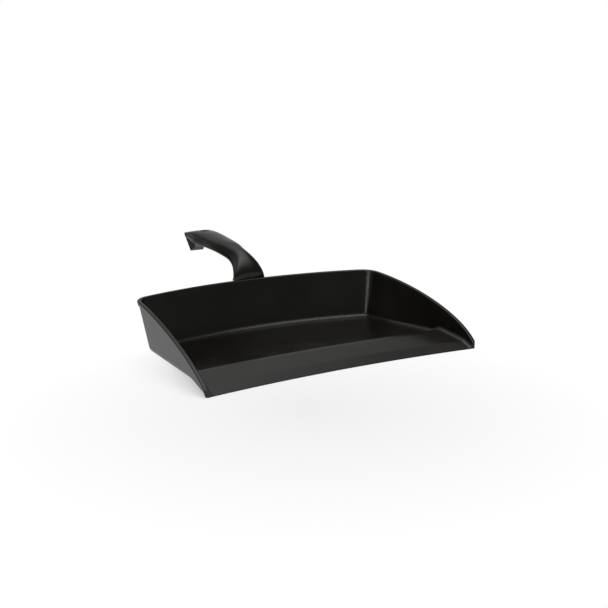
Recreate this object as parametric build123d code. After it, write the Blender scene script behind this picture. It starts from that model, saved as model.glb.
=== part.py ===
from build123d import *
import math
import os

# Hand dustpan, in millimetres. X runs across the mouth, Y from the lip to the handle, Z up.
# While it is built, Y is measured from the front corners of the lip. The last step moves the
# origin to the middle of the footprint, on the ground.

# Scoop
MOUTH_HALF_WIDTH = 162.0      # half the width of the mouth, at the ground
SIDE_FLARE = 0.111            # how far each side closes in for each millimetre towards the back
WALL_DRAFT = 11.15            # lean of every wall, in degrees
PAN_DEPTH = 197.0             # front corners to the outside of the back wall, at the ground
BACK_RADIUS = 464.0           # bow of the back wall in plan
CORNER_RADIUS = 10.5          # back corners in plan, at the ground
RIM_HEIGHT = 58.5
WALL = 3.2
BOTTOM_RADIUS = 8.5           # round between the walls and the underside
FLOOR_RADIUS = 4.5            # round between the walls and the floor inside

# Rim, which falls from the back to the nose beside the lip along a Bezier curve, as (Y, Z)
RIM_CURVE = [(-5.2, -0.2), (13.5, 32.5), (119.0, RIM_HEIGHT), (197.0, RIM_HEIGHT)]
BEAD_OUT = 1.2                # how far the rolled rim stands out
BEAD_TALL = 4.5
RIM_ROUND = 1.2

# Lip and floor in section, as (distance behind the front edge, height)
MOUTH_BOW = 9.9               # how far the middle of the front edge lies behind its corners
EDGE_THICK = 1.0
BEVEL_TOP = (13.0, 6.0)
RAMP_TOP = (43.0, 10.6)
DAM_TOP = (50.0, 11.2)
DAM_FOOT = (60.0, 7.3)
FLOOR_FALL = 0.0325           # slope of the floor, down towards the back
LIP_LONG = 41.5               # from the front edge to the step under the floor
LIP_RISE = 0.208              # slope of the underside of the lip
LIP_CORNER = 3.0              # round along the lower edges of the lip's sides
NOSE_HALF_WIDTH = 164.9       # across the front corners, with the rim
NOSE_RADIUS = 4.0             # of those corners in plan
STEP_HEIGHT = 5.2             # of the underside behind the lip
UNDER_FALL = 0.0385           # slope of the underside, down to the heel
CREASE_ROUNDS = {DAM_FOOT: 14.0, DAM_TOP: 5.0, BEVEL_TOP: 12.0}

# Handle: its top line starts on the rim and follows a Bezier curve, then an arc to the tip. The
# sections give the share of the line, the half-width of the crown, how far the flanks lean out for
# each millimetre down, and the depth of the round between crown and flank
TOP_CURVE = [(202.9, 97.9), (251.0, 93.8), (300.7, 99.2)]
GRIP_SECTIONS = [(0.0, 20.3, 0.01, 3.0), (0.07, 16.7, 0.07, 3.0), (0.15, 11.0, 0.28, 3.0),
                 (0.24, 7.4, 0.37, 4.0), (0.36, 9.0, 0.26, 5.5), (0.5, 12.1, 0.21, 6.0),
                 (0.68, 14.9, 0.15, 6.0), (0.88, 15.7, 0.07, 4.0), (1.0, 16.4, -0.3, 1.0)]
GRIP_DEPTH = 18.0             # the sections reach this far below the top line before they are cut
RUN_ON = 6.0                  # and run on this far past both ends of it
EDGE_CURVE = [(212.8, RIM_HEIGHT), (204.6, 64.1), (234.4, 82.6), (264.7, 87.7),
              (310.1, 81.7), (344.3, 89.0)]
ROOT_SET_BACK = 0.5           # the rim shows as a thin line in front of the root
GRIP_WALL = 3.0
LEAST_ROUND = 1.0             # smallest round between the crown and the flanks inside the grip
BAND_OUT = 0.4                # the band along each edge of the grip stands out by this much
BAND_TALL = [2.0, 2.5, 4.0, 6.0, 7.5, 4.0]     # from the root to the end
BAND_ROUND = 2.0              # along the lower edge of the band
GROOVE_DEEP = 0.7             # groove along the top of the band
GROOVE_TALL = 1.2
TIP = (345.0, 95.6)
BEAK_TOP = (15.0, 318.0, 87.5)       # corner where the beak under the end starts, as (half-width, Y, Z)
BEAK_FRONT = (6.0, 335.0, 77.3)      # front corner of its lower face
BEAK_LOW = (9.0, 71.8)               # back corner of its lower face, as (half-width, Z)
BEAK_SINK = 1.5               # the back of the beak starts this far above the lower edge
HOLLOW_END = 311.0            # the hollow of the grip ends here
HOLE_SET_BACK = 25.0          # centre of the hanging hole, in front of the tip
HOLE_RADIUS = 6.0
WELL_RADIUS = 7.5             # of the well under the hole, through the beak

# Tongue on the handle and socket on the outside of the back wall, as distances down that wall
TONGUE_HALF_WIDTH = 15.0
TONGUE_THICK = 3.4
TONGUE_LONG = 34.0
TONGUE_SINK = 1.3             # the tongue reaches this far up into the root
ROOT_BLOCK = 9.0              # the root is solid up to this height above the rim
FIT_GAP = 0.2
SOCKET_TOP = 5.5
SOCKET_LOW = 31.0
SOCKET_WALL = 3.6
SOCKET_ROUND = 2.5
SLOT_RECESS = 0.5             # the slot goes this far into the wall, which bows
BARB_OUT = 1.2
BARB_HALF_WIDTH = 6.0

FRONT = -40.0                 # in front of everything
FAR = 400.0                   # behind everything
TALL = 120.0                  # above everything, and as far below
WIDE = 240.0                  # outside everything
TUB_BASE = -6.0               # the scoop's plan is drawn at this height and cut off at the ground later
BOTTOM_TOP = 14.0             # the floor and the underside lie below this height
NEAR = 0.02                   # points closer than this lie on the same line
DRAFT_SLOPE = math.tan(math.radians(WALL_DRAFT))
MOUTH_RADIUS = (MOUTH_HALF_WIDTH**2 + MOUTH_BOW**2) / (2 * MOUTH_BOW)
RIM_BACK = PAN_DEPTH + RIM_HEIGHT * DRAFT_SLOPE
ROOT_FRONT = (RIM_BACK - WALL + ROOT_SET_BACK, RIM_HEIGHT)


def shifted(points, distances):
    """Control points of a curve that runs beside another one, on its right-hand side."""
    moved = []
    for i, ((y, z), distance) in enumerate(zip(points, distances)):
        before = points[max(i - 1, 0)]
        after = points[min(i + 1, len(points) - 1)]
        dy, dz = after[0] - before[0], after[1] - before[1]
        length = math.hypot(dy, dz)
        moved.append((y + distance * dz / length, z - distance * dy / length))
    return moved


def slab(draw, reach, plane=Plane.YZ):
    """Region inside the closed lines that draw makes on a plane, as thick as reach on both sides."""
    with BuildPart() as body:
        with BuildSketch(plane):
            with BuildLine():
                draw()
            make_face()
        extrude(amount=reach, both=True)
    return body.part


def back_corner(inset):
    """Where the side line meets the arc of the back wall at the ground, both moved in by inset."""
    centre = PAN_DEPTH - BACK_RADIUS
    base = MOUTH_HALF_WIDTH - inset
    a = 1 + SIDE_FLARE**2
    b = -2 * (SIDE_FLARE * base + centre)
    c = base**2 + centre**2 - (BACK_RADIUS - inset)**2
    y = (-b + math.sqrt(b * b - 4 * a * c)) / (2 * a)
    return base - SIDE_FLARE * y, y


def tub(inset):
    """Prism on the scoop's plan with leaning walls, which lie inset inside the outer faces."""
    at_base = inset - TUB_BASE * DRAFT_SLOPE
    x, y = back_corner(at_base)
    front_x = MOUTH_HALF_WIDTH - SIDE_FLARE * FRONT - at_base
    with BuildPart() as body:
        with BuildSketch(Plane.XY.offset(TUB_BASE)):
            with BuildLine():
                Polyline((-x, y), (-front_x, FRONT), (front_x, FRONT), (x, y))
                ThreePointArc((x, y), (0, PAN_DEPTH - at_base), (-x, y))
            make_face()
            corners = [v for v in vertices() if v.Y > 0]
            fillet(corners, CORNER_RADIUS - at_base)
        extrude(amount=TALL, taper=-WALL_DRAFT)
    return body.part


def turned(outline, rounds=()):
    """Section (distance behind the front edge, height) carried along the bow of the mouth."""
    axis = Axis((0, MOUTH_BOW - MOUTH_RADIUS, 0), (0, 0, 1))
    turn = 20.0
    with BuildSketch(Plane.YZ) as section:
        with BuildLine():
            Polyline(*[(MOUTH_BOW + s, z) for s, z in outline], close=True)
        make_face()
        for s, z in rounds:
            corner = vertices().sort_by_distance((MOUTH_BOW + s, z, 0))[0]
            fillet(corner, CREASE_ROUNDS[s, z])
    return revolve(section.sketch, axis=axis, revolution_arc=turn).rotate(axis, -turn / 2)


def below_rim(curve):
    """Everything lower than a curve of the side view that ends level at the back."""
    def draw():
        Bezier(*curve)
        (front_y, _), (back_y, top) = curve[0], curve[-1]
        Polyline((back_y, top), (FAR, top), (FAR, -TALL), (front_y, -TALL), curve[0])
    return slab(draw, WIDE)


def bottom_edges(body):
    """Edges where a wall meets the bottom, not those that cross the bottom."""
    def crosses(edge):
        box = edge.bounding_box()
        return box.min.X < 0 < box.max.X and box.max.Y < PAN_DEPTH / 2
    low = [e for e in body.edges() if e.bounding_box().max.Z < BOTTOM_TOP]
    return [e for e in low if not crosses(e)]


def outer_form():
    """Outside of the scoop: leaning walls, rounded into a sloping underside."""
    def underside():
        front_z = STEP_HEIGHT + UNDER_FALL * (LIP_LONG - 2 * FRONT)
        far_z = STEP_HEIGHT - UNDER_FALL * (FAR - LIP_LONG)
        Polyline((2 * FRONT, front_z), (FAR, far_z), (FAR, -TALL), (2 * FRONT, -TALL), close=True)
    body = tub(0) - slab(underside, WIDE)
    body = body.fillet(BOTTOM_RADIUS, bottom_edges(body))
    behind_lip = turned([(LIP_LONG, -TALL), (FAR, -TALL), (FAR, TALL), (LIP_LONG, TALL)])
    return body & behind_lip


def lip_form():
    """Front of the scoop, with thin sides that run down to the sloping underside of the lip."""
    outline = [(FRONT, LIP_RISE * FRONT), (LIP_LONG, LIP_RISE * LIP_LONG), (LIP_LONG, TALL), (FRONT, TALL)]
    body = tub(0) & turned(outline)

    def is_low_side(edge):
        box = edge.bounding_box()
        return box.max.Z < LIP_RISE * LIP_LONG + 1 and box.size.X < WIDE / 10 and box.size.Y > LIP_LONG / 2
    return body.fillet(LIP_CORNER, [e for e in body.edges() if is_low_side(e)])


def inner_form():
    """Hollow of the scoop: leaning walls, rounded into the floor, the dam and the lip."""
    back_floor = DAM_FOOT[1] - FLOOR_FALL * (FAR - DAM_FOOT[0])
    slope = (BEVEL_TOP[1] - EDGE_THICK) / BEVEL_TOP[0]
    front_floor = EDGE_THICK + slope * FRONT
    outline = [(FAR, -TALL), (FAR, back_floor), DAM_FOOT, DAM_TOP, RAMP_TOP, BEVEL_TOP,
               (FRONT, front_floor), (FRONT, -TALL)]
    body = tub(WALL) - turned(outline, rounds=CREASE_ROUNDS)
    return body.fillet(FLOOR_RADIUS, bottom_edges(body))


def wall_plane():
    """Plane on the outside of the back wall at the rim: local Y runs down the wall, Z outwards."""
    lean = math.radians(WALL_DRAFT)
    outwards = (0, math.cos(lean), -math.sin(lean))
    return Plane(origin=(0, RIM_BACK, RIM_HEIGHT), x_dir=(1, 0, 0), z_dir=outwards)


def wall_box(half_width, down, out):
    """Box on the outside of the back wall, between two distances down the wall and two outwards."""
    size = (2 * half_width, down[1] - down[0], out[1] - out[0])
    place = Location((0, (down[0] + down[1]) / 2, (out[0] + out[1]) / 2))
    return wall_plane().location * place * Box(*size)


def wall_point(down, out):
    """Point (Y, Z) in the middle of the back wall, a distance down the wall and another outwards."""
    point = wall_plane().from_local_coords((0, down, out))
    return point.Y, point.Z


def nose_cut(side):
    """What is taken off one front corner, so that it is round in plan."""
    x = side * (NOSE_HALF_WIDTH - NOSE_RADIUS)
    corner = Pos(x + side * TALL / 2, NOSE_RADIUS - TALL / 2, 0) * Box(TALL, TALL, TALL)
    return corner - Pos(x, NOSE_RADIUS, 0) * Cylinder(NOSE_RADIUS, TALL)


def make_pan():
    """Scoop with its rolled rim, its lip, a flat heel and the socket for the handle."""
    bead = tub(-BEAD_OUT) - below_rim(shifted(RIM_CURVE, len(RIM_CURVE) * [BEAD_TALL]))
    pan = (outer_form() + lip_form() + bead - inner_form()) & below_rim(RIM_CURVE)
    rim = Wire([Bezier(*RIM_CURVE), Line(RIM_CURVE[-1], (FAR, RIM_HEIGHT))])

    def on_rim(edge):
        points = [edge @ share for share in (0.2, 0.5, 0.8)]
        return all(rim.distance_to(Vector(p.Y, p.Z, 0)) < NEAR for p in points)
    pan = pan.fillet(RIM_ROUND, [e for e in pan.edges() if on_rim(e)])

    ahead = turned([(2 * FRONT, -TALL), (0, -TALL), (0, TALL), (2 * FRONT, TALL)])
    ground = Pos(0, 0, -TALL) * Box(2 * WIDE, 2 * FAR, 2 * TALL)
    pan = pan - ahead - ground - nose_cut(1) - nose_cut(-1)

    slot_out = TONGUE_THICK + 2 * FIT_GAP - SLOT_RECESS
    slot_half = TONGUE_HALF_WIDTH + FIT_GAP
    outer_half = slot_half + SOCKET_WALL
    socket = wall_box(outer_half, (SOCKET_TOP, SOCKET_LOW), (-WALL / 2, slot_out + SOCKET_WALL))

    def is_outer_corner(edge):
        out = wall_plane().to_local_coords(edge.center()).Z
        return abs(edge.center().X) > slot_half and out > slot_out and edge.length > outer_half
    socket = socket.fillet(SOCKET_ROUND, [e for e in socket.edges() if is_outer_corner(e)])
    slot = wall_box(slot_half, (-SOCKET_TOP, TONGUE_LONG + SOCKET_TOP), (-SLOT_RECESS, slot_out))
    return pan + socket - slot


def top_line():
    """Top line of the handle in the side view, from the rim to the tip."""
    rise = Bezier(ROOT_FRONT, *TOP_CURVE)
    return Wire([rise, TangentArc(TOP_CURVE[-1], TIP, tangent=rise % 1)])


def arch(inset):
    """Bar that follows the handle's top line, crowned over leaning flanks, moved in by inset."""
    line = top_line()

    def section(share, crown, lean, shoulder, past=0.0):
        along = line % share
        point = line @ share + along * past
        plane = Plane(origin=(0, point.X, point.Y), x_dir=(1, 0, 0), z_dir=(0, along.X, along.Y))
        corner = crown + lean * inset - math.hypot(1, lean) * inset
        turn = max(shoulder - inset, LEAST_ROUND)
        side = corner + lean * turn
        foot = corner + lean * (GRIP_DEPTH - inset)
        low = inset + turn
        with BuildSketch(plane) as face:
            with BuildLine():
                Bezier((-side, low), (-corner, inset), (0, inset))
                Bezier((0, inset), (corner, inset), (side, low))
                Polyline((side, low), (foot, GRIP_DEPTH), (-foot, GRIP_DEPTH), (-side, low))
            make_face()
        return face.sketch
    before = section(*GRIP_SECTIONS[0], past=-RUN_ON)
    after = section(*GRIP_SECTIONS[-1], past=RUN_ON)
    return loft([before, *[section(*row) for row in GRIP_SECTIONS], after])


def end_y(height):
    """How far back the end face of the handle lies at a height."""
    low_y, low_z = EDGE_CURVE[-1]
    return TIP[0] - (TIP[0] - low_y) * (TIP[1] - height) / (TIP[1] - low_z)


def grip_side():
    """Side view of all that lies above the handle's lower edge and ahead of its end."""
    Polyline(EDGE_CURVE[0], (0, RIM_HEIGHT), (0, TALL), (end_y(TALL), TALL), EDGE_CURVE[-1])
    Bezier(*EDGE_CURVE)


def above_edge(distances):
    """Control points of a curve that runs above the lower edge."""
    return shifted(EDGE_CURVE, [-distance for distance in distances])


def flank_side():
    """Side view of all that lies above the band along the lower edge."""
    curve = above_edge(BAND_TALL)
    Bezier(*curve)
    Polyline(curve[-1], (FAR, curve[-1][1]), (FAR, TALL), (0, TALL), (0, curve[0][1]), curve[0])


def groove_side():
    """Side view of the groove along the top of the band."""
    lower = above_edge(BAND_TALL)
    upper = above_edge([tall + GROOVE_TALL for tall in BAND_TALL])
    Bezier(*lower)
    Line(lower[-1], upper[-1])
    Bezier(*upper)
    Line(upper[0], lower[0])


def beak():
    """Faceted block under the end: its sides fold in from the lower edge to a narrow lower face."""
    back_z = EDGE_CURVE[-1][1] + BEAK_SINK
    low_half, low_z = BEAK_LOW
    top, front = BEAK_TOP, BEAK_FRONT
    back = (top[0], end_y(back_z), back_z)
    low = (low_half, end_y(low_z), low_z)

    def mirrored(corner):
        return -corner[0], *corner[1:]
    outlines = []
    for triangle in ((top, back, front), (back, low, front)):
        outlines += [triangle, [mirrored(corner) for corner in triangle]]
    for first, second in ((top, front), (front, low), (low, back), (back, top)):
        outlines.append((first, second, mirrored(second), mirrored(first)))
    return Solid(Shell([Face(Wire.make_polygon(outline)) for outline in outlines]))


def tongue():
    """Tongue that goes down into the socket, with a barb that catches under it."""
    inner = FIT_GAP - SLOT_RECESS
    outer = inner + TONGUE_THICK
    blade = wall_box(TONGUE_HALF_WIDTH, (-TONGUE_SINK, TONGUE_LONG), (inner, outer))
    barb_top = SOCKET_LOW + FIT_GAP
    outline = [(barb_top, inner), (barb_top, outer + BARB_OUT), (TONGUE_LONG, outer), (TONGUE_LONG, inner)]
    barb = slab(lambda: Polyline(*[wall_point(*p) for p in outline], close=True), BARB_HALF_WIDTH)
    return blade + barb


def make_handle():
    """Arched channel with a flared root, grooved edge bands, a beak, a hole and a tongue."""
    bar = arch(-BAND_OUT) & slab(grip_side, WIDE)
    edge_line = Bezier(*EDGE_CURVE)

    def is_low_side(edge):
        points = [edge @ share for share in (0, 0.5, 1)]
        return all(abs(p.X) > NEAR and edge_line.distance_to(Vector(p.Y, p.Z, 0)) < NEAR for p in points)
    bar = bar.fillet(BAND_ROUND, [e for e in bar.edges() if is_low_side(e)])
    shaved = slab(flank_side, WIDE) - arch(0)
    groove = slab(groove_side, WIDE) - arch(GROOVE_DEEP)
    low = RIM_HEIGHT + ROOT_BLOCK
    channel = Pos(0, HOLLOW_END / 2, (low + TALL) / 2) * Box(WIDE, HOLLOW_END, TALL - low)
    hole_y = TIP[0] - HOLE_SET_BACK
    hollow = arch(GRIP_WALL) & (channel + Pos(0, hole_y, 0) * Cylinder(WELL_RADIUS, 2 * TALL))
    well = Pos(0, hole_y, EDGE_CURVE[-1][1] - TALL / 2) * Cylinder(WELL_RADIUS, TALL)
    hole = Pos(0, hole_y, TALL) * Cylinder(HOLE_RADIUS, TALL)
    handle = bar - shaved - groove + beak() - hollow - well - hole
    return handle + tongue()


parts = {"pan": make_pan(), "handle": make_handle()}
size = Compound(list(parts.values())).bounding_box()
to_origin = Pos(0, -(size.min.Y + size.max.Y) / 2, 0)

os.makedirs("parts", exist_ok=True)
for name, shape in parts.items():
    placed = to_origin * shape
    placed.label = name
    export_step(placed, f"parts/{name}.step")
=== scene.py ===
import math

import bpy
from mathutils import Matrix, Vector

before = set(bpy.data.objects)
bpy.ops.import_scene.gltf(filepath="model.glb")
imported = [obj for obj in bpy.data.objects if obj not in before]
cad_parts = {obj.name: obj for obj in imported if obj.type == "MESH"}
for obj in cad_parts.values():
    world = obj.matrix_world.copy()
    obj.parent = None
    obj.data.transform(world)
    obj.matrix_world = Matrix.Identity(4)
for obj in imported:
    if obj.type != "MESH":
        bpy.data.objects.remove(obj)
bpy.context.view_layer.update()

bl_info = {
    "name": "Hand dustpan",
    "version": (1, 0, 0),
    "blender": (4, 5, 0),
    "location": "3D View > Sidebar > Dustpan",
    "description": "Gives a moulded plastic dustpan its finish and sets it on a plain stage",
    "category": "Object",
}

PLASTIC = "moulded_black_polypropylene"
MM = 0.001
WHITE = (1.0, 1.0, 1.0, 1.0)
# Refractive index of polypropylene.
PLASTIC_IOR = 1.49
# Layers of ever finer noise in the grain and in the clouds.
GRAIN_LAYERS = 2.0
CLOUD_LAYERS = 4.0
# Nearly all of a noise pattern lies between these two values.
NOISE_SPAN = (0.3, 0.7)


def linear(hex_colour):
    """Linear red, green and blue of an sRGB hex colour: each channel is undone from the sRGB curve."""
    channels = [int(hex_colour[i:i + 2], 16) / 255 for i in (1, 3, 5)]
    return [c / 12.92 if c <= 0.04045 else ((c + 0.055) / 1.055) ** 2.4 for c in channels]


class FinishSettings(bpy.types.PropertyGroup):
    """Colours and grain of the plastic."""
    plastic: bpy.props.FloatVectorProperty(
        name="Plastic", description="Colour of the plastic", subtype="COLOR", size=3,
        default=linear("#0b0905"), min=0, max=1)
    plastic_pale: bpy.props.FloatVectorProperty(
        name="Paler plastic", description="Colour where the pigment is thinnest", subtype="COLOR", size=3,
        default=linear("#110f0a"), min=0, max=1)
    roughness: bpy.props.FloatProperty(
        name="Roughness", description="Mean roughness of the satin", subtype="FACTOR",
        default=0.2, min=0, max=1)
    roughness_swing: bpy.props.FloatProperty(
        name="Roughness swing", description="How far the roughness goes up and down", subtype="FACTOR",
        default=0.04, min=0, max=0.2)
    grain: bpy.props.FloatProperty(
        name="Grain", description="Width of one grain of the mould's texture", unit="LENGTH",
        default=0.9 * MM, min=0.1 * MM, max=5 * MM)
    grain_depth: bpy.props.FloatProperty(
        name="Grain depth", description="Depth of the mould's texture", unit="LENGTH",
        default=0.012 * MM, min=0, max=0.2 * MM)
    cloud: bpy.props.FloatProperty(
        name="Cloud", description="Width of the cloudy changes in gloss and colour", unit="LENGTH",
        default=45 * MM, min=5 * MM, max=200 * MM)


class StageSettings(bpy.types.PropertyGroup):
    """Table, light and camera."""
    table: bpy.props.FloatVectorProperty(
        name="Table", description="Colour of the table", subtype="COLOR", size=3,
        default=linear("#fcfcfc"), min=0, max=1)
    table_middle: bpy.props.FloatVectorProperty(
        name="Table middle", description="Place on the floor round which the table shows",
        subtype="TRANSLATION", unit="LENGTH", default=(-0.10, -0.25, 0.0))
    table_near: bpy.props.FloatProperty(
        name="Table near", description="Distance from its middle at which the table starts to fade",
        unit="LENGTH", default=0.0, min=0)
    table_far: bpy.props.FloatProperty(
        name="Table far", description="Distance from its middle at which the table is gone",
        unit="LENGTH", default=0.27, min=0.1)
    floor_half: bpy.props.FloatProperty(
        name="Floor half width", description="Half the width of the floor", unit="LENGTH",
        default=6.0, min=1)
    studio_share: bpy.props.FloatProperty(
        name="Studio in gloss", description="How bright the floor past the table is in reflections",
        subtype="FACTOR", default=0.53, min=0, max=1)
    dome_low: bpy.props.FloatProperty(
        name="Dome at the horizon", description="Brightness of the dome at the horizon",
        default=0.155, min=0)
    dome_rise: bpy.props.FloatProperty(
        name="Dome overhead", description="How much brighter the dome is overhead",
        default=1.97, min=0)
    dome_power: bpy.props.FloatProperty(
        name="Dome gathering", description="How closely the light gathers overhead",
        default=3.0, min=1)
    dome_lean: bpy.props.FloatProperty(
        name="Dome lean", description="How much of the light overhead moves from the back to the front",
        subtype="FACTOR", default=0.6, min=0, max=1)
    dome_side: bpy.props.FloatVectorProperty(
        name="Dome side", description="How far to the right the light overhead starts to end, and is gone",
        size=2, default=(0.45, 0.6), min=-1, max=1)
    backdrop: bpy.props.FloatVectorProperty(
        name="Backdrop", description="Direction in which the white backdrop stands", subtype="DIRECTION",
        default=(0.531, 0.847, 0.0))
    backdrop_share: bpy.props.FloatProperty(
        name="Backdrop in gloss", description="How bright the backdrop is in reflections",
        subtype="FACTOR", default=0.545, min=0, max=1)
    lamp_power: bpy.props.FloatProperty(
        name="Lamp power", description="Power of the low lamp at the left", unit="POWER",
        default=1.82, min=0)
    lamp_wide: bpy.props.FloatProperty(
        name="Lamp width", description="Width of the lamp", unit="LENGTH", default=0.7, min=0.01)
    lamp_tall: bpy.props.FloatProperty(
        name="Lamp height", description="Height of the lamp", unit="LENGTH", default=0.34, min=0.01)
    lamp_place: bpy.props.FloatVectorProperty(
        name="Lamp place", description="Where the middle of the lamp is", subtype="TRANSLATION",
        unit="LENGTH", default=(-1.26, -0.60, 0.17))
    lamp_aim: bpy.props.FloatVectorProperty(
        name="Lamp aim", description="What the lamp points at", subtype="TRANSLATION", unit="LENGTH",
        default=(0.1, 0.0, 0.05))
    camera_place: bpy.props.FloatVectorProperty(
        name="Camera place", description="Where the camera is", subtype="TRANSLATION", unit="LENGTH",
        default=(-0.58488, -1.01685, 0.30865))
    camera_turn: bpy.props.FloatProperty(
        name="Camera turn", description="How far the camera looks to the right of straight back",
        subtype="ANGLE", default=math.radians(32.067))
    camera_dip: bpy.props.FloatProperty(
        name="Camera dip", description="How far the camera looks down", subtype="ANGLE",
        default=math.radians(13.112))
    lens: bpy.props.FloatProperty(
        name="Lens", description="Focal length on a 36 mm sensor, in millimetres", default=62.91, min=10)


def add_node(tree, kind, inputs=None, **settings):
    """Adds a node with its settings, and sets or links its inputs, which are named or numbered."""
    node = tree.nodes.new(kind)
    for name, value in settings.items():
        setattr(node, name, value)
    for name, value in (inputs or {}).items():
        if isinstance(value, bpy.types.NodeSocket):
            tree.links.new(value, node.inputs[name])
        else:
            node.inputs[name].default_value = value
    return node


def empty_tree(owner):
    """The node tree of a material or a world, with nothing in it yet."""
    owner.use_nodes = True
    owner.node_tree.nodes.clear()
    return owner.node_tree


def whiteness(tree, gloss_share):
    """1 for what the camera sees, also through something clear, gloss_share in gloss, and otherwise 0."""
    path = add_node(tree, "ShaderNodeLightPath").outputs
    seen = add_node(tree, "ShaderNodeMath", {
        0: path["Is Camera Ray"], 1: path["Is Transmission Ray"],
    }, operation="ADD")
    return add_node(tree, "ShaderNodeMath", {
        0: path["Is Glossy Ray"], 1: gloss_share, 2: seen.outputs["Value"],
    }, operation="MULTIPLY_ADD").outputs["Value"]


def black_polypropylene(look):
    """Polypropylene coloured with carbon black, injection moulded in a lightly spark-eroded mould."""
    # It is almost black, and what shows is the satin gloss: a soft sheen that follows the light on
    # each face, a little broken by the grain and cloudy where the mould is worn smoother.
    material = bpy.data.materials.new(PLASTIC)
    tree = empty_tree(material)
    place = add_node(tree, "ShaderNodeTexCoord").outputs["Object"]
    # The real grain is about 0.1 mm wide. It is drawn coarser here, because it would not show.
    grain = add_node(tree, "ShaderNodeTexNoise", {
        "Vector": place, "Scale": 1 / look.grain, "Detail": GRAIN_LAYERS,
    })
    cloud = add_node(tree, "ShaderNodeTexNoise", {
        "Vector": place, "Scale": 1 / look.cloud, "Detail": CLOUD_LAYERS,
    })
    colour = add_node(tree, "ShaderNodeMix", {
        "Factor": cloud.outputs["Fac"], "A": (*look.plastic, 1.0), "B": (*look.plastic_pale, 1.0),
    }, data_type="RGBA")
    least, most = NOISE_SPAN
    gloss = add_node(tree, "ShaderNodeMapRange", {
        "Value": cloud.outputs["Fac"], "From Min": least, "From Max": most,
        "To Min": look.roughness - look.roughness_swing, "To Max": look.roughness + look.roughness_swing,
    })
    bump = add_node(tree, "ShaderNodeBump", {
        "Height": grain.outputs["Fac"], "Strength": 1.0, "Distance": look.grain_depth,
    })
    shader = add_node(tree, "ShaderNodeBsdfPrincipled", {
        "Base Color": colour.outputs["Result"], "Roughness": gloss.outputs["Result"],
        "Normal": bump.outputs["Normal"], "IOR": PLASTIC_IOR,
    })
    add_node(tree, "ShaderNodeOutputMaterial", {"Surface": shader.outputs["BSDF"]})
    return material


def dress(node, look):
    """Gives a CAD piece the one plastic that both pieces are moulded in and even shading."""
    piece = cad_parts[node]
    piece.data.materials.clear()
    piece.data.materials.append(bpy.data.materials.get(PLASTIC) or black_polypropylene(look))
    # Each corner is shaded by the mean of the faces around it, weighted by area, so that the light on
    # a flat face runs straight up to the rounds beside it. The shape stays as it is.
    even = piece.modifiers.new("even_shading", "WEIGHTED_NORMAL")
    even.keep_sharp = True


class DUSTPAN_OT_pan(bpy.types.Operator):
    """Finish the scoop"""
    bl_idname = "dustpan.pan"
    bl_label = "Scoop"

    def execute(self, context):
        dress("pan", context.scene.dustpan_finish)
        return {"FINISHED"}


class DUSTPAN_OT_handle(bpy.types.Operator):
    """Finish the handle"""
    bl_idname = "dustpan.handle"
    bl_label = "Handle"

    def execute(self, context):
        dress("handle", context.scene.dustpan_finish)
        return {"FINISHED"}


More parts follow.
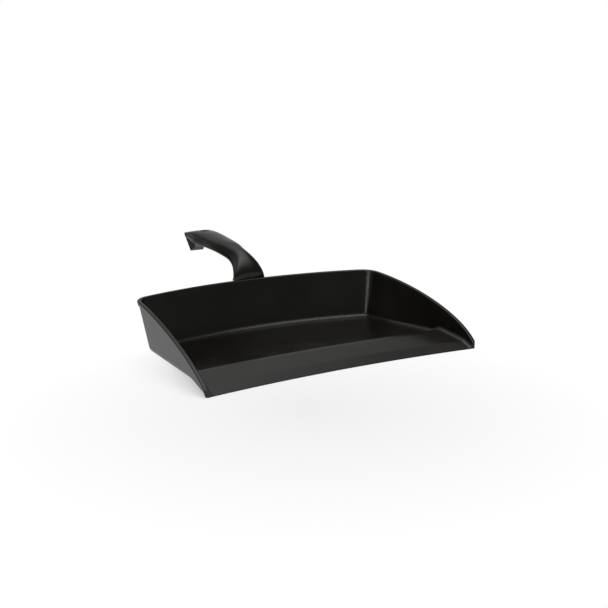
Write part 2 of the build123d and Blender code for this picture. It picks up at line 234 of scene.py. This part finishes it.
class DUSTPAN_OT_stage(bpy.types.Operator):
    """Set up the table, the light and the camera"""
    bl_idname = "dustpan.stage"
    bl_label = "Stage"

    def execute(self, context):
        settings = context.scene.dustpan_stage
        context.scene.view_settings.view_transform = "Standard"
        self.table(context, settings)
        self.dome(context, settings)
        self.lamp(context, settings)
        self.camera(context, settings)
        return {"FINISHED"}

    def table(self, context, settings):
        """A matt white table top, which fades into a floor that is plain white to the camera.

        From below it is clear, so that the underside of the dustpan can be looked at.
        """
        half = settings.floor_half
        corners = [(-half, -half, 0), (half, -half, 0), (half, half, 0), (-half, half, 0)]
        mesh = bpy.data.meshes.new("floor")
        mesh.from_pydata(corners, [], [(0, 1, 2, 3)])
        floor = bpy.data.objects.new("floor", mesh)
        context.scene.collection.objects.link(floor)
        material = bpy.data.materials.new("matt_white_table")
        mesh.materials.append(material)
        tree = empty_tree(material)
        place = add_node(tree, "ShaderNodeTexCoord").outputs["Object"]
        away = add_node(tree, "ShaderNodeVectorMath", {
            0: place, 1: settings.table_middle,
        }, operation="DISTANCE")
        faded = add_node(tree, "ShaderNodeMapRange", {
            "Value": away.outputs["Value"],
            "From Min": settings.table_near, "From Max": settings.table_far,
        })
        matt = add_node(tree, "ShaderNodeBsdfDiffuse", {"Color": (*settings.table, 1.0)})
        white = add_node(tree, "ShaderNodeEmission", {
            "Color": WHITE, "Strength": whiteness(tree, settings.studio_share),
        })
        top = add_node(tree, "ShaderNodeMixShader", {
            0: faded.outputs["Result"], 1: matt.outputs["BSDF"], 2: white.outputs["Emission"],
        })
        from_below = add_node(tree, "ShaderNodeNewGeometry").outputs["Backfacing"]
        clear = add_node(tree, "ShaderNodeBsdfTransparent")
        both = add_node(tree, "ShaderNodeMixShader", {
            0: from_below, 1: top.outputs["Shader"], 2: clear.outputs["BSDF"],
        })
        add_node(tree, "ShaderNodeOutputMaterial", {"Surface": both.outputs["Shader"]})

    def dome(self, context, settings):
        """A dome of strength low + rise * z ** power * (1 - lean * y), in the direction (x, y, z).

        The rise ends to the right, while x grows from the first value of dome_side to the second. White
        stands behind the dome. The camera sees only the white. Gloss sees a share of it, which is largest
        towards the backdrop and falls with the square of (1 - z) times the cosine of the angle from it.
        """
        world = bpy.data.worlds.new("studio")
        context.scene.world = world
        tree = empty_tree(world)
        towards = add_node(tree, "ShaderNodeTexCoord").outputs["Generated"]
        parts = add_node(tree, "ShaderNodeSeparateXYZ", {0: towards}).outputs
        above = add_node(tree, "ShaderNodeMath", {
            0: parts["Z"], 1: 0.0,
        }, operation="MAXIMUM").outputs["Value"]
        gathered = add_node(tree, "ShaderNodeMath", {
            0: above, 1: settings.dome_power,
        }, operation="POWER")
        leaned = add_node(tree, "ShaderNodeMath", {
            0: parts["Y"], 1: -settings.dome_lean, 2: 1.0,
        }, operation="MULTIPLY_ADD")
        overhead = add_node(tree, "ShaderNodeMath", {
            0: gathered.outputs["Value"], 1: leaned.outputs["Value"],
        }, operation="MULTIPLY")
        start, end = settings.dome_side
        rise = add_node(tree, "ShaderNodeMapRange", {
            "Value": parts["X"], "From Min": start, "From Max": end,
            "To Min": settings.dome_rise, "To Max": 0.0,
        }, interpolation_type="SMOOTHSTEP")
        level = add_node(tree, "ShaderNodeMath", {
            0: overhead.outputs["Value"], 1: rise.outputs["Result"], 2: settings.dome_low,
        }, operation="MULTIPLY_ADD")
        cosine = add_node(tree, "ShaderNodeVectorMath", {
            0: towards, 1: settings.backdrop,
        }, operation="DOT_PRODUCT")
        facing = add_node(tree, "ShaderNodeMath", {
            0: cosine.outputs["Value"], 1: 0.0,
        }, operation="MAXIMUM")
        below_top = add_node(tree, "ShaderNodeMath", {
            0: 1.0, 1: above,
        }, operation="SUBTRACT")
        patch = add_node(tree, "ShaderNodeMath", {
            0: facing.outputs["Value"], 1: below_top.outputs["Value"],
        }, operation="MULTIPLY").outputs["Value"]
        squared = add_node(tree, "ShaderNodeMath", {
            0: patch, 1: patch,
        }, operation="MULTIPLY")
        share = add_node(tree, "ShaderNodeMath", {
            0: squared.outputs["Value"], 1: settings.backdrop_share,
        }, operation="MULTIPLY")
        soft = add_node(tree, "ShaderNodeBackground", {
            "Color": WHITE, "Strength": level.outputs["Value"],
        })
        white = add_node(tree, "ShaderNodeBackground", {"Color": WHITE, "Strength": 1.0})
        mix = add_node(tree, "ShaderNodeMixShader", {
            0: whiteness(tree, share.outputs["Value"]),
            1: soft.outputs["Background"], 2: white.outputs["Background"],
        })
        add_node(tree, "ShaderNodeOutputWorld", {"Surface": mix.outputs["Shader"]})

    def lamp(self, context, settings):
        """A low, wide lamp at the left, for the outer wall, the back corner and the edge of the grip."""
        lamp = bpy.data.lights.new("strip_lamp", "AREA")
        lamp.shape = "RECTANGLE"
        lamp.size = settings.lamp_wide
        lamp.size_y = settings.lamp_tall
        lamp.energy = settings.lamp_power
        holder = bpy.data.objects.new("strip_lamp", lamp)
        holder.location = settings.lamp_place
        aim = Vector(settings.lamp_aim) - holder.location
        holder.rotation_euler = aim.to_track_quat("-Z", "Y").to_euler()
        context.scene.collection.objects.link(holder)

    def camera(self, context, settings):
        """A camera that looks back and to the right, and a little down."""
        camera = bpy.data.cameras.new("camera")
        camera.lens = settings.lens
        holder = bpy.data.objects.new("camera", camera)
        level = math.cos(settings.camera_dip)
        ahead = Vector((level * math.sin(settings.camera_turn), level * math.cos(settings.camera_turn),
                        -math.sin(settings.camera_dip)))
        turn = ahead.to_track_quat("-Z", "Y").to_matrix().to_4x4()
        holder.matrix_world = Matrix.Translation(settings.camera_place) @ turn
        context.scene.collection.objects.link(holder)
        context.scene.camera = holder


class DUSTPAN_PT_panel(bpy.types.Panel):
    """Lists the pieces, the stage and their settings."""
    bl_idname = "DUSTPAN_PT_panel"
    bl_label = "Dustpan"
    bl_space_type = "VIEW_3D"
    bl_region_type = "UI"
    bl_category = "Dustpan"

    def draw(self, context):
        groups = ((context.scene.dustpan_finish, (DUSTPAN_OT_pan, DUSTPAN_OT_handle)),
                  (context.scene.dustpan_stage, (DUSTPAN_OT_stage,)))
        for settings, operators in groups:
            box = self.layout.box()
            for name in type(settings).__annotations__:
                box.prop(settings, name)
            for operator in operators:
                box.operator(operator.bl_idname)


CLASSES = (FinishSettings, StageSettings, DUSTPAN_OT_pan, DUSTPAN_OT_handle, DUSTPAN_OT_stage,
           DUSTPAN_PT_panel)


def register():
    for cls in CLASSES:
        bpy.utils.register_class(cls)
    bpy.types.Scene.dustpan_finish = bpy.props.PointerProperty(type=FinishSettings)
    bpy.types.Scene.dustpan_stage = bpy.props.PointerProperty(type=StageSettings)


def unregister():
    del bpy.types.Scene.dustpan_stage
    del bpy.types.Scene.dustpan_finish
    for cls in reversed(CLASSES):
        bpy.utils.unregister_class(cls)


def main():
    register()
    bpy.ops.dustpan.pan()
    bpy.ops.dustpan.handle()
    bpy.ops.dustpan.stage()


if __name__ == "__main__":
    main()
